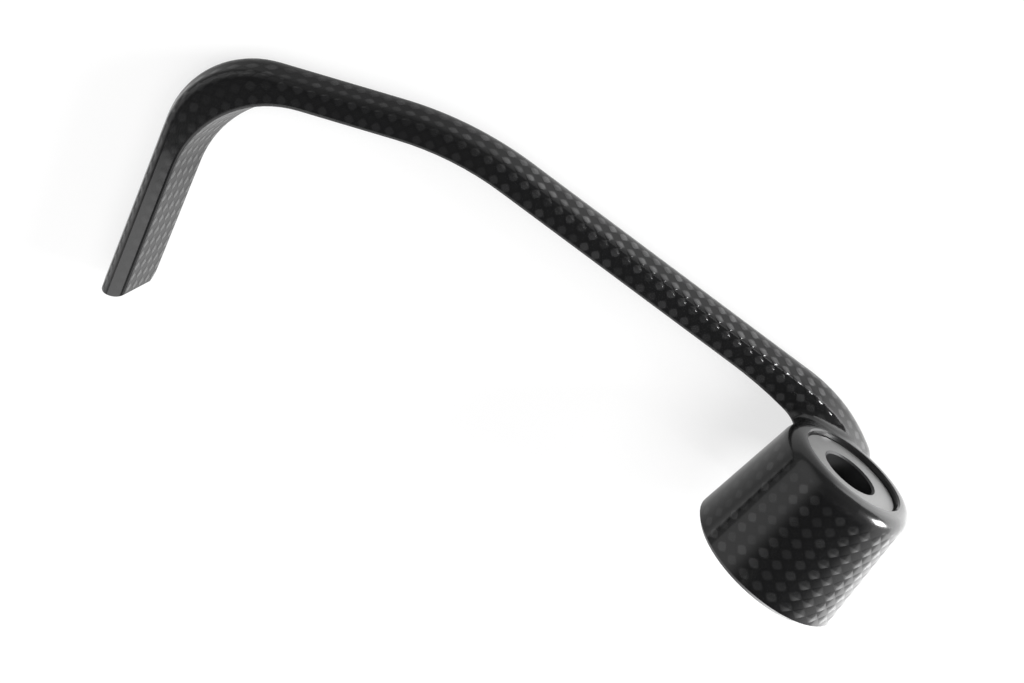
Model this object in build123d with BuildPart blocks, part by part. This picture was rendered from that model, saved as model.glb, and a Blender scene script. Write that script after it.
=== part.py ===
from build123d import *
import math
import os

# Boss: the tapered barrel that is bolted against the end of the handlebar
boss_length = 26.0
boss_bar_end_radius = 16.4
boss_open_end_radius = 13.5
boss_tilt = 5.2
lip_rounding = 2.9
lip_edge_chamfer = 0.3
bar_rim_chamfer = 0.9

# Insert: the turned bush bonded in the boss
insert_radius = 10.1
insert_recess = 1.1
insert_edge_chamfer = 0.35
bore_radius = 5.2
bore_chamfer = 0.35

# Arm: the strip that curves round the lever, measured along its inner edge
arm_top = -10.4
arm_width = 13.7
arm_thickness = 6.9
elbow_x = 25.5
elbow_y = 12.9
elbow_outer_setback = 11.2
root_inner_length = 22.3
root_outer_length = 14.5
long_run_length = 81.1
second_run_length = 49.7
leg_length = 48.6

# Heading of each run, turned from straight ahead towards the rider's hand
root_inner_heading = -20.0
root_outer_heading = -31.7
long_run_heading = -2.6
second_run_heading = 17.7
leg_heading = 95.2

# Bend radii of the arm, inner edge and outer edge
elbow_inner_radius = 91.0
elbow_outer_radius = 37.5
gentle_inner_radius = 63.0
gentle_outer_radius = 80.0
tight_inner_radius = 23.2
tight_outer_radius = 20.4

# Edges of the arm
root_corner_radius = 4.4
tip_reach = 1.6
tip_low_corner_radius = 5.5
tip_low_corner_overrun = 0.6
tip_trim_margin = 4.0
crown_rise = 2.3
crown_slope_width = 5.3
crown_radius = 6.0
shoulder_radius = 2.2
inner_edge_radius = 0.6
neck_blend_radius = 3.0


def ahead(heading):
    """Unit vector along a run of the arm."""
    angle = math.radians(heading)
    return Vector(-math.sin(angle), math.cos(angle))


def outward(heading):
    """Unit vector across a run, from its inner edge to its outer edge."""
    angle = math.radians(heading)
    return Vector(math.cos(angle), math.sin(angle))


def outer_corner(corner, heading_in, heading_out):
    """Corner of the outer edge across from a corner of the inner edge."""
    turn = math.radians(heading_out - heading_in)
    both = outward(heading_in) + outward(heading_out)
    return corner + both * (arm_thickness / (1 + math.cos(turn)))


def at_height(spot, height):
    """Point of the arm above or below a point of its plan."""
    return Vector(spot.X, spot.Y, height)


# Corners of the arm's inner edge and of its outer edge
elbow_in = Vector(elbow_x, elbow_y)
root_in = elbow_in - ahead(root_inner_heading) * root_inner_length
gentle_in = elbow_in + ahead(long_run_heading) * long_run_length
tight_in = gentle_in + ahead(second_run_heading) * second_run_length
tip_in = tight_in + ahead(leg_heading) * leg_length
elbow_across = elbow_in + outward(long_run_heading) * arm_thickness
elbow_out = elbow_across - ahead(long_run_heading) * elbow_outer_setback
root_out = elbow_out - ahead(root_outer_heading) * root_outer_length
gentle_out = outer_corner(gentle_in, long_run_heading, second_run_heading)
tight_out = outer_corner(tight_in, second_run_heading, leg_heading)
tip_out = tip_in + outward(leg_heading) * arm_thickness
tip_middle = (tip_in + tip_out) / 2 + ahead(leg_heading) * tip_reach

# Middle of the long run: on its inner edge, its crown and the shoulders beside the crown
arm_low = arm_top - arm_width
inner_middle = (elbow_in + gentle_in) / 2
outer_middle = (elbow_out + gentle_out) / 2
shoulder_middle = outer_middle - outward(long_run_heading) * crown_rise

# The leg is drawn square-ended and longer at first, to be trimmed to its round tip
trim_ahead = ahead(leg_heading) * tip_trim_margin
trim_out = outward(leg_heading) * tip_trim_margin
blank_in = tip_in + trim_ahead
blank_out = tip_out + trim_ahead
low_corner_end = tip_reach + tip_low_corner_overrun
tip_foot = at_height(tip_in, arm_low)
tip_side = Plane(origin=tip_foot, x_dir=ahead(leg_heading), z_dir=outward(leg_heading))

bends = [
    (elbow_in, elbow_inner_radius),
    (gentle_in, gentle_inner_radius),
    (tight_in, tight_inner_radius),
    (tight_out, tight_outer_radius),
    (gentle_out, gentle_outer_radius),
    (elbow_out, elbow_outer_radius),
    (root_out, root_corner_radius),
]

# The boss's centre line, and the plane that its turned profiles are drawn in
tilt = math.radians(boss_tilt)
bar_line = Vector(math.cos(tilt), 0, math.sin(tilt))
bar_axis = Axis((0, 0, 0), bar_line)
turning_plane = Plane(origin=(0, 0, 0), x_dir=bar_line, z_dir=(0, -1, 0))
insert_length = boss_length - insert_recess
bar_rim = Vector(0, boss_bar_end_radius)
lip = Vector(boss_length, boss_open_end_radius)

# Guard body: arm and boss moulded as one piece
with BuildPart() as guard_body:
    with BuildSketch(Plane.XY.offset(arm_low)) as arm_plan:
        with BuildLine():
            Polyline(
                root_in, elbow_in, gentle_in, tight_in, blank_in,
                blank_out, tight_out, gentle_out, elbow_out, root_out,
                close=True,
            )
        make_face()
        for corner, radius in bends:
            fillet(arm_plan.vertices().sort_by_distance(corner)[0], radius)
    extrude(amount=arm_width)

    # Crowned outer face, from the tip round to the root: a slope on each side of its middle
    top_edge = guard_body.edges().sort_by_distance(at_height(outer_middle, arm_top))[0]
    top_flat = guard_body.faces().sort_by(Axis.Z)[-1]
    chamfer(top_edge, crown_rise, crown_slope_width, reference=top_flat)
    low_edge = guard_body.edges().sort_by_distance(at_height(outer_middle, arm_low))[0]
    low_flat = guard_body.faces().sort_by(Axis.Z)[0]
    chamfer(low_edge, crown_rise, crown_slope_width, reference=low_flat)

    # Rounded shoulders beside the flat sides, and a softer round along the crown
    shoulders = [at_height(shoulder_middle, height) for height in (arm_top, arm_low)]
    fillet([guard_body.edges().sort_by_distance(spot)[0] for spot in shoulders], shoulder_radius)
    crown_heights = (arm_top - crown_slope_width, arm_low + crown_slope_width)
    crowns = [at_height(outer_middle, height) for height in crown_heights]
    fillet([guard_body.edges().sort_by_distance(spot)[0] for spot in crowns], crown_radius)

    # Leg trimmed to its round tip
    with BuildSketch(Plane.XY.offset(arm_low)):
        with BuildLine():
            ThreePointArc(tip_in, tip_middle, tip_out)
            Polyline(
                tip_out,
                tip_out + trim_out,
                blank_out + trim_out + trim_ahead,
                blank_in - trim_out + trim_ahead,
                tip_in - trim_out,
                tip_in,
            )
        make_face()
    extrude(amount=arm_width, mode=Mode.SUBTRACT)

    # Low corner of the tip rounded off
    with BuildSketch(tip_side):
        with Locations((low_corner_end, 0)):
            Rectangle(tip_low_corner_radius, tip_low_corner_radius, align=(Align.MAX, Align.MIN))
        with Locations((low_corner_end - tip_low_corner_radius, tip_low_corner_radius)):
            Circle(tip_low_corner_radius, mode=Mode.SUBTRACT)
    extrude(amount=arm_thickness + tip_trim_margin, both=True, mode=Mode.SUBTRACT)

    # Crisper edge, round the whole inner face
    inner_edge = guard_body.edges().sort_by_distance(at_height(inner_middle, arm_top))[0]
    fillet(inner_edge, inner_edge_radius)

    with BuildSketch(turning_plane) as boss_profile:
        with BuildLine():
            Polyline(
                (0, insert_radius),
                (0, boss_bar_end_radius),
                (boss_length, boss_open_end_radius),
                (boss_length, insert_radius + lip_edge_chamfer),
                (boss_length - lip_edge_chamfer, insert_radius),
                close=True,
            )
        make_face()
        chamfer(boss_profile.vertices().sort_by_distance(bar_rim)[0], bar_rim_chamfer)
        fillet(boss_profile.vertices().sort_by_distance(lip)[0], lip_rounding)
    revolve(axis=bar_axis)

    # Soft neck where the boss sits on the arm's root
    fillet(guard_body.edges(Select.NEW), neck_blend_radius)

guard_body.part.label = "guard_body"

# Insert: turned sleeve, flush at the handlebar and set back at the open end
with BuildPart() as bar_end_insert:
    with BuildSketch(turning_plane):
        with BuildLine():
            Polyline(
                (0, bore_radius),
                (0, insert_radius),
                (insert_length - insert_edge_chamfer, insert_radius),
                (insert_length, insert_radius - insert_edge_chamfer),
                (insert_length, bore_radius + bore_chamfer),
                (insert_length - bore_chamfer, bore_radius),
                close=True,
            )
        make_face()
    revolve(axis=bar_axis)

bar_end_insert.part.label = "bar_end_insert"

os.makedirs("parts", exist_ok=True)
export_step(guard_body.part, "parts/guard_body.step")
export_step(bar_end_insert.part, "parts/bar_end_insert.step")
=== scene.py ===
import math

import bpy
from mathutils import Matrix, Vector


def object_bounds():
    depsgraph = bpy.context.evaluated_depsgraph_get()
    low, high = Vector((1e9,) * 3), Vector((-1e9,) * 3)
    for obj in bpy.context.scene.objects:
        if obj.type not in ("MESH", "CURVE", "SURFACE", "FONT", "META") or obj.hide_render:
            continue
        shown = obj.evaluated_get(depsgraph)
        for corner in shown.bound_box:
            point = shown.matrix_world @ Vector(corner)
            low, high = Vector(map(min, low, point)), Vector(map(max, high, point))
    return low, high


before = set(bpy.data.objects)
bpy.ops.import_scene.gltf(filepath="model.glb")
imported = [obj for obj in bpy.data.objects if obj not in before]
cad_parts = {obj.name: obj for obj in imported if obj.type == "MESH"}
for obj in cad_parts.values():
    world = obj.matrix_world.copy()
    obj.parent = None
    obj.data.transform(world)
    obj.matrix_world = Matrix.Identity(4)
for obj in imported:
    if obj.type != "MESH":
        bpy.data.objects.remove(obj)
cad_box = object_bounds()


# Guard body: the curved arm and the tapered boss, moulded in one piece from woven
# carbon cloth in resin. The plain weave is laid on the bias, so its tows run at 45
# degrees to the arm and to the boss, and a smooth clear coat covers it.
guard_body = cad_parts["guard_body"]
carbon = bpy.data.materials.new("clear_coated_carbon")
carbon.use_nodes = True
carbon_shader = carbon.node_tree.nodes["Principled BSDF"]


class Signal:
    """A value that runs through a material, written with ordinary arithmetic."""

    def __init__(self, socket):
        self.socket = socket
        self.tree = socket.id_data

    def node(self, kind, sockets, output=0, **settings):
        """Adds any node: its settings first, then its sockets."""
        made = self.tree.nodes.new(kind)
        for name, value in settings.items():
            setattr(made, name, value)
        for name, value in sockets.items():
            if isinstance(value, Signal):
                self.tree.links.new(value.socket, made.inputs[name])
            else:
                made.inputs[name].default_value = value
        return Signal(made.outputs[output])

    def maths(self, operation, *others):
        """One step of arithmetic, with this value as its first term."""
        return self.node("ShaderNodeMath", dict(enumerate((self, *others))), operation=operation)

    def __add__(self, other):
        return self.maths("ADD", other)

    __radd__ = __add__

    def __sub__(self, other):
        return self.maths("SUBTRACT", other)

    def __rsub__(self, other):
        return self.node("ShaderNodeMath", {0: other, 1: self}, operation="SUBTRACT")

    def __mul__(self, other):
        return self.maths("MULTIPLY", other)

    __rmul__ = __mul__

    def __truediv__(self, other):
        return self.maths("DIVIDE", other)

    def __gt__(self, other):
        return self.maths("GREATER_THAN", other)

    def __lt__(self, other):
        return self.maths("LESS_THAN", other)

    def choose(self, yes, no):
        """yes where this value is 1, no where it is 0."""
        return no + self * (yes - no)

    def ease(self, start, end, before=0.0, after=1.0):
        """A smooth change, as this value goes from start to end."""
        sockets = {0: self, 1: start, 2: end, 3: before, 4: after}
        return self.node("ShaderNodeMapRange", sockets, interpolation_type="SMOOTHSTEP")

    def tint(self, plain, full, **settings):
        """The plain colour where this value is 0, the full one where it is 1."""
        sockets = {0: self, 6: plain, 7: full}
        return self.node("ShaderNodeMix", sockets, 2, data_type="RGBA", **settings)

    def parts(self):
        """The x, y and z of this vector."""
        return [self.node("ShaderNodeSeparateXYZ", {0: self}, axis) for axis in range(3)]

    def feeds(self, socket):
        self.tree.links.new(self.socket, socket)


mm_per_metre = 1000.0


def place_on(material):
    """Place of each point on a piece, in millimetres."""
    metres = Signal(material.node_tree.nodes.new("ShaderNodeTexCoord").outputs["Object"])
    return metres.node("ShaderNodeVectorMath", {0: metres, 3: mm_per_metre}, operation="SCALE")


x, y, z = place_on(carbon).parts()

# Inner edge of the arm in plan: runs at these headings, joined by an elbow, a gentle bend
# and a tight bend
headings = [math.radians(turn) for turn in (-20.0, -2.6, 17.7, 95.2)]
bend_radii = (91.0, 63.0, 23.2)
run_lengths = (81.1, 49.7)
elbow_corner = Vector((25.5, 12.9))


def ahead(heading):
    """Unit vector along a run of the arm."""
    return Vector((-math.sin(heading), math.cos(heading)))


def outward(heading):
    """Unit vector across a run, from its inner edge to its outer edge."""
    return Vector((math.cos(heading), math.sin(heading)))


def measure_bend(centre, radius, heading_in, heading_out, start):
    """Distance along the arm, and out from its inner edge, on a bend and the runs beside it."""
    across = x - centre.x
    forward = y - centre.y
    heading = forward.maths("ARCTAN2", across)
    heading = heading.maths("MAXIMUM", heading_in).maths("MINIMUM", heading_out)
    cosine = heading.maths("COSINE")
    sine = heading.maths("SINE")
    along = (heading - heading_in) * radius + (forward * cosine - across * sine) + start
    out = across * cosine + forward * sine - radius
    return along, out


corner = elbow_corner
start = 0.0
bends = []
for number, radius in enumerate(bend_radii):
    heading_in = headings[number]
    heading_out = headings[number + 1]
    turn = heading_out - heading_in
    centre = corner - (outward(heading_in) + outward(heading_out)) * radius / (1 + math.cos(turn))
    bends.append(measure_bend(centre, radius, heading_in, heading_out, start))
    if number < len(run_lengths):
        corner = corner + ahead(heading_out) * run_lengths[number]
        next_turn = headings[number + 2] - heading_out
        straight = run_lengths[number] - radius * math.tan(turn / 2)
        straight -= bend_radii[number + 1] * math.tan(next_turn / 2)
        start += radius * turn + straight

# A point is measured on its nearest bend, which changes about halfway along each run
long_run_middle = 55.0
second_run_middle = 114.0
near_gentle = y > long_run_middle
near_tight = y > second_run_middle
elbow_bend, gentle_bend, tight_bend = bends
arm_along = near_tight.choose(tight_bend[0], near_gentle.choose(gentle_bend[0], elbow_bend[0]))
arm_out = near_tight.choose(tight_bend[1], near_gentle.choose(gentle_bend[1], elbow_bend[1]))

# The cloth wraps the arm: up its inner face, across the top, down the crowned outer face
# and back underneath, where its ends meet
arm_top = -10.4
arm_width = 13.7
arm_thickness = 6.9
crown_rise = 2.3
crown_slope_width = 5.3
crown_band = arm_width - 2 * crown_slope_width
slope_length = math.hypot(crown_rise, crown_slope_width)
depth_on_slope = (slope_length - crown_rise) / crown_slope_width
depth = arm_top - z
edge_depth = depth.maths("MINIMUM", arm_width - depth)
on_outer_half = arm_out > crown_rise
below_middle = depth > arm_width / 2
folded_out = below_middle.choose(2 * arm_thickness - arm_out, arm_out)
over_band = (depth - crown_slope_width).maths("MAXIMUM", 0.0).maths("MINIMUM", crown_band)
outer_round = depth * depth_on_slope + over_band * (1.0 - depth_on_slope) + folded_out
arm_round = on_outer_half.choose(-1.0 * outer_round, depth - arm_out)

# The cloth wraps the boss: along its centre line, round it, and over its lip and its rim.
# boss_turn is counted in turns from the boss's top, towards the arm.
boss_tilt = math.radians(5.2)
boss_length = 26.0
boss_bar_end_radius = 16.4
boss_open_end_radius = 13.5
boss_taper = (boss_bar_end_radius - boss_open_end_radius) / boss_length
flank_margin = 0.3
end_margin = 0.5
tow_width = 1.9
square_size = tow_width * math.sqrt(2)
squares_round_boss = 32


def untilt(across, upward):
    """Distance along the boss's tilted centre line, and height above it."""
    along = across * math.cos(boss_tilt) + upward * math.sin(boss_tilt)
    above = upward * math.cos(boss_tilt) - across * math.sin(boss_tilt)
    return along, above


boss_along, boss_up = untilt(x, z)
boss_reach = (boss_up * boss_up + y * y).maths("SQRT")
boss_flank = boss_bar_end_radius - boss_along * boss_taper
on_boss = (boss_reach < boss_flank + flank_margin) * (boss_along < boss_length + end_margin)
near_open_end = boss_along > boss_length / 2
cloth_along_boss = boss_along + (boss_flank - boss_reach) * near_open_end.choose(1.0, -1.0)
boss_turn = y.maths("ARCTAN2", boss_up) / (2 * math.pi)
cloth_round_boss = boss_turn * (squares_round_boss * square_size)
cloth_along = on_boss.choose(cloth_along_boss, arm_along)
cloth_round = on_boss.choose(cloth_round_boss, arm_round)

# Plain weave on the bias: two sets of tows, each passing over and under the other
tows_per_mm = 1 / square_size
right_tow = (cloth_along + cloth_round) * tows_per_mm
left_tow = (cloth_along - cloth_round) * tows_per_mm
right_count = right_tow.maths("FLOOR")
left_count = left_tow.maths("FLOOR")
right_part = right_tow - right_count - 0.5
left_part = left_tow - left_count - 0.5
left_over = (right_count + left_count).maths("FLOORED_MODULO", 2.0)
along_tow = left_over.choose(left_part, right_part)
across_tow = left_over.choose(right_part, left_part)
tow_dome = (along_tow * math.pi).maths("COSINE") * (across_tow * math.pi).maths("COSINE")

# Each crossing of tows takes the light by its own luck, and fine filaments run along a tow
filaments_across = 26.0
filament_waves = 1.2
filament_shift = 40.0
crossing = right_count.node("ShaderNodeCombineXYZ", {0: right_count, 1: left_count})
crossing_luck = crossing.node("ShaderNodeTexWhiteNoise", {"Vector": crossing}, noise_dimensions="2D")
filament_place = crossing.node("ShaderNodeCombineXYZ", {
    0: across_tow * filaments_across,
    1: along_tow * filament_waves,
    2: crossing_luck * filament_shift,
})
filaments = crossing.node("ShaderNodeTexNoise", {"Vector": filament_place, "Scale": 1.0, "Detail": 2.0})

# One set of tows catches the light where it comes to the top, painted as a row of soft lighter
# dots, a painted sheen, and the other stays dark. The painted sheen is strong on the arm's slope
# and on the side of the boss towards the arm, and weak from the gentle bend on.
dot_full_height = 0.55
least_dot = 0.10
luck_share = 0.75
filament_share = 0.35
slope_sheen_gain = 4.0
dark_tow_share = 0.14
dark_cloth = (0.007, 0.007, 0.0073, 1.0)
bright_cloth = (0.025, 0.025, 0.0255, 1.0)
dot = tow_dome.ease(start=0.0, end=dot_full_height) * left_over
on_slope = (edge_depth * on_outer_half).ease(start=0.9, end=2.4) * (1.0 - on_boss)
# Fade from the gentle bend on, of the painted sheen of the dots and of the tows' print through the coat
painted_sheen_and_print_fade = y.ease(start=72.0, end=100.0, before=1.0, after=0.4)
# Painted sheen on the boss, stronger on its side towards the arm
boss_painted_sheen = boss_turn.ease(start=0.055, end=0.105, before=0.65, after=1.9)
painted_sheen = on_boss.choose(boss_painted_sheen, (1.0 + slope_sheen_gain * on_slope) * painted_sheen_and_print_fade)
# Colour of the weave: lighter dots from painted sheen, with random tone per crossing and along the filaments
weave_and_sheen_tone = dot * (least_dot + luck_share * crossing_luck + filament_share * filaments) * painted_sheen
dark_tone = dark_tow_share * tow_dome * filaments
cloth_colour = (weave_and_sheen_tone + dark_tone).tint(dark_cloth, bright_cloth, clamp_factor=False)

# The cloth ends short of the boss's lip, which is smooth grey resin
lip_start = 22.6
lip_fade = 1.4
lip_grey = (0.012, 0.012, 0.0123, 1.0)
lip_roughness = 0.24
cloth_roughness = 0.11
filament_roughness = 0.08
lip = cloth_along_boss.ease(start=lip_start, end=lip_start + lip_fade) * on_boss
lip.tint(cloth_colour, lip_grey).feeds(carbon_shader.inputs["Base Color"])
carbon_roughness = lip.choose(lip_roughness, cloth_roughness + filament_roughness * filaments)
carbon_roughness.feeds(carbon_shader.inputs["Roughness"])

# The coat lies thick on the arm's flats, at its root and on the side of the boss towards the
# arm. Elsewhere the tows print through it, on the outer face less down the slope and from
# the gentle bend on.
inner_face_print = 0.62
slope_print_loss = 0.6
tow_relief = 0.0005
off_flats = edge_depth.ease(start=0.05, end=0.45, before=0.025, after=1.0)
past_root = y.ease(start=5.0, end=11.0, before=0.1, after=1.0)
boss_print = boss_turn.ease(start=0.04, end=-0.06, before=0.03, after=0.34)
outer_face_print = painted_sheen_and_print_fade * (1.0 - slope_print_loss * on_slope)
arm_print = off_flats * past_root * on_outer_half.choose(outer_face_print, inner_face_print)
print_through = on_boss.choose(boss_print * (1.0 - lip), arm_print)
weave_relief = tow_dome * left_over * print_through
weave_bump = x.node("ShaderNodeBump", {"Strength": 1.0, "Distance": tow_relief, "Height": weave_relief})
weave_bump.feeds(carbon_shader.inputs["Normal"])

# Where the tows print through, the coat stays on the tops of one set, and shines more on the arm
coat_weight = 0.6
arm_dot_coat = 1.0
dot_coat = dot * on_boss.choose(coat_weight, arm_dot_coat)
print_through.choose(dot_coat, coat_weight).feeds(carbon_shader.inputs["Coat Weight"])
carbon_shader.inputs["Coat Roughness"].default_value = 0.03
carbon_shader.inputs["Coat IOR"].default_value = 1.42
guard_body.data.materials.clear()
guard_body.data.materials.append(carbon)


# Bar-end insert: a turned light-alloy bush with a satin grey finish, bonded into the
# boss and set back a little from its lip. The bolt to the handlebar passes through it.
bar_end_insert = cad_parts["bar_end_insert"]
bush = bpy.data.materials.new("satin_grey_bush")
bush.use_nodes = True
bush_shader = bush.node_tree.nodes["Principled BSDF"]
bush_place = place_on(bush)
bush_x, bush_y, bush_z = bush_place.parts()
bush_along, bush_up = untilt(bush_x, bush_z)
bush_reach = (bush_up * bush_up + bush_y * bush_y).maths("SQRT")

# Fine turning marks, and a faint mottle where the finish has taken unevenly
marks_per_mm = 9.0
mark_depth = 0.00002
mark_strength = 0.25
marks_share = 0.4
mottle_share = 0.6
mottle_per_mm = 0.9
dark_satin = (0.30, 0.30, 0.30, 1.0)
light_satin = (0.42, 0.42, 0.418, 1.0)
satin_roughness = 0.38
mottle_roughness = 0.16
turned_place = bush_place.node("ShaderNodeCombineXYZ", {
    0: bush_reach * marks_per_mm,
    1: bush_along * marks_per_mm,
})
marks = bush_place.node("ShaderNodeTexNoise", {"Vector": turned_place, "Scale": 1.0, "Detail": 3.0})
mottle = bush_place.node("ShaderNodeTexNoise", {"Vector": bush_place, "Scale": mottle_per_mm, "Detail": 4.0})
satin_colour = (mottle_share * mottle + marks_share * marks).tint(dark_satin, light_satin)
(satin_roughness + mottle_roughness * mottle).feeds(bush_shader.inputs["Roughness"])
mark_sockets = {"Strength": mark_strength, "Distance": mark_depth, "Height": marks}
bush_place.node("ShaderNodeBump", mark_sockets).feeds(bush_shader.inputs["Normal"])
bush_shader.inputs["Metallic"].default_value = 0.85

# The bore is dark inside, its chamfer too
bore_mouth_radius = 5.6
bore_grey = (0.08, 0.08, 0.082, 1.0)
in_bore = bush_reach < bore_mouth_radius
in_bore.tint(satin_colour, bore_grey).feeds(bush_shader.inputs["Base Color"])
bar_end_insert.data.materials.clear()
bar_end_insert.data.materials.append(bush)


# Studio: a white table top that the guard lies on, lit by a softbox from the right of the
# picture, a small one above the tip and a soft fill overhead. The room is white to the
# camera and dim to all other rays, darkest overhead and brighter on three sides.
white = (1.0, 1.0, 1.0, 1.0)
table_size = 6.0
table_level = cad_box[0][2]
bpy.ops.object.select_all(action="DESELECT")
bpy.ops.mesh.primitive_plane_add(size=table_size, location=(0, 0, 0))
table = bpy.context.object
table.name = "table"
bpy.ops.object.mode_set(mode="EDIT")
bpy.ops.transform.translate(value=(0, 0, table_level))
bpy.ops.object.mode_set(mode="OBJECT")
table_white = bpy.data.materials.new("table_white")
table_white.use_nodes = True
table_nodes = table_white.node_tree.nodes
table_nodes.remove(table_nodes["Principled BSDF"])

# The table's glow to mirrored rays changes by place, in metres, so that the coat reflects what
# it does in the photo
table_place = Signal(table_nodes.new("ShaderNodeTexCoord").outputs["Object"])
table_across, table_along = table_place.parts()[:2]
beside_key = table_along.ease(start=0.005, end=-0.05, before=0.0, after=2.0)
inside_arm = table_across.ease(start=0.03, end=-0.02, before=0.0, after=1.0)
by_leg = table_along.ease(start=0.075, end=0.135, before=0.36, after=0.8)
beyond_leg = table_along.ease(start=0.15, end=0.24, before=1.0, after=0.3)
outside_arm = table_along.ease(start=0.06, end=0.12, before=0.55, after=0.2)
mirrored_glow = inside_arm.choose(by_leg * beyond_leg, outside_arm) + beside_key

# To the camera the table glows too, least by the guard, where lamplight and shadow make up the rest
table_grey = 0.34
table_reach = table_place.node("ShaderNodeVectorMath", {0: table_place}, 1, operation="LENGTH")
direct_glow = table_reach.ease(start=0.3, end=1.5, before=0.68, after=1.0)
table_rays = table_nodes.new("ShaderNodeLightPath").outputs
table_direct = Signal(table_rays["Is Camera Ray"])
table_mirrored = Signal(table_rays["Is Glossy Ray"]) + Signal(table_rays["Is Transmission Ray"])
table_glow = table_direct * direct_glow + table_mirrored * mirrored_glow
matt = table_glow.node("ShaderNodeBsdfDiffuse", {"Color": table_grey * (1.0 - table_mirrored)})
glow = table_glow.node("ShaderNodeEmission", {"Color": white, "Strength": table_glow})
table_top = table_glow.node("ShaderNodeAddShader", {0: matt, 1: glow})
table_top.feeds(table_nodes["Material Output"].inputs["Surface"])
table.data.materials.append(table_white)

# The room's sides, by the direction from the guard
world = bpy.data.worlds.new("studio")
bpy.context.scene.world = world
world.use_nodes = True
room_nodes = world.node_tree.nodes
room_dimness = 0.12
room = Signal(room_nodes.new("ShaderNodeTexCoord").outputs["Generated"])
room_across, room_along, room_up = room.parts()
low_down = room_up.ease(start=0.55, end=0.85, before=1.0, after=0.3)
far_wall = room_along.ease(start=0.45, end=0.85, before=0.0, after=0.5)
window = room_along.ease(start=-0.65, end=-0.97, before=0.0, after=0.8)
leg_wall = room_across.ease(start=-0.34, end=-0.45, before=0.0, after=0.9)
room_direct = Signal(room_nodes.new("ShaderNodeLightPath").outputs["Is Camera Ray"])
room_level = room_direct.choose(1.0, low_down * (room_dimness + far_wall + window + leg_wall))
room_level.feeds(room_nodes["Background"].inputs["Strength"])
room_nodes["Background"].inputs["Color"].default_value = white

# The softboxes face the middle of the guard, and the fill isn't mirrored
guard_middle = Vector((0.01, 0.07, -0.01))


def softbox(name, direction, distance, width, height, power):
    """Rectangular lamp that stands off in a direction from the guard."""
    lamp = bpy.data.lights.new(name, "AREA")
    lamp.shape = "RECTANGLE"
    lamp.size = width
    lamp.size_y = height
    lamp.energy = power
    holder = bpy.data.objects.new(name, lamp)
    bpy.context.scene.collection.objects.link(holder)
    holder.location = guard_middle + direction.normalized() * distance
    holder.rotation_euler = direction.to_track_quat("Z", "Y").to_euler()
    return holder


key_direction = Vector((0.414, -0.85, 0.33))
tip_direction = Vector((-0.497, 0.287, 0.819))
fill_direction = Vector((0.10, -0.35, 1.0))
softbox("key_softbox", key_direction, distance=1.2, width=0.40, height=0.45, power=16.0)
softbox("tip_softbox", tip_direction, distance=1.2, width=0.34, height=0.25, power=0.42)
fill = softbox("fill_softbox", fill_direction, distance=1.3, width=0.9, height=0.9, power=12.0)
fill.visible_glossy = False

# The camera stands where the photo was taken from
camera_place = (0.07176, 0.0765, 0.17756)
camera_right = Vector((0.5386, -0.8311, -0.1386))
camera_up = Vector((0.7734, 0.5529, -0.3100))
camera_back = Vector((0.3343, 0.0598, 0.9406))
camera = bpy.data.cameras.new("camera")
camera.sensor_fit = "HORIZONTAL"
camera.sensor_width = 36.0
camera.lens = 35.16
camera.clip_start = 0.01
viewer = bpy.data.objects.new("camera", camera)
bpy.context.scene.collection.objects.link(viewer)
camera_turn = Matrix((camera_right, camera_up, camera_back)).transposed().to_4x4()
viewer.matrix_world = Matrix.Translation(camera_place) @ camera_turn
bpy.context.scene.camera = viewer
bpy.context.scene.view_settings.view_transform = "Standard"
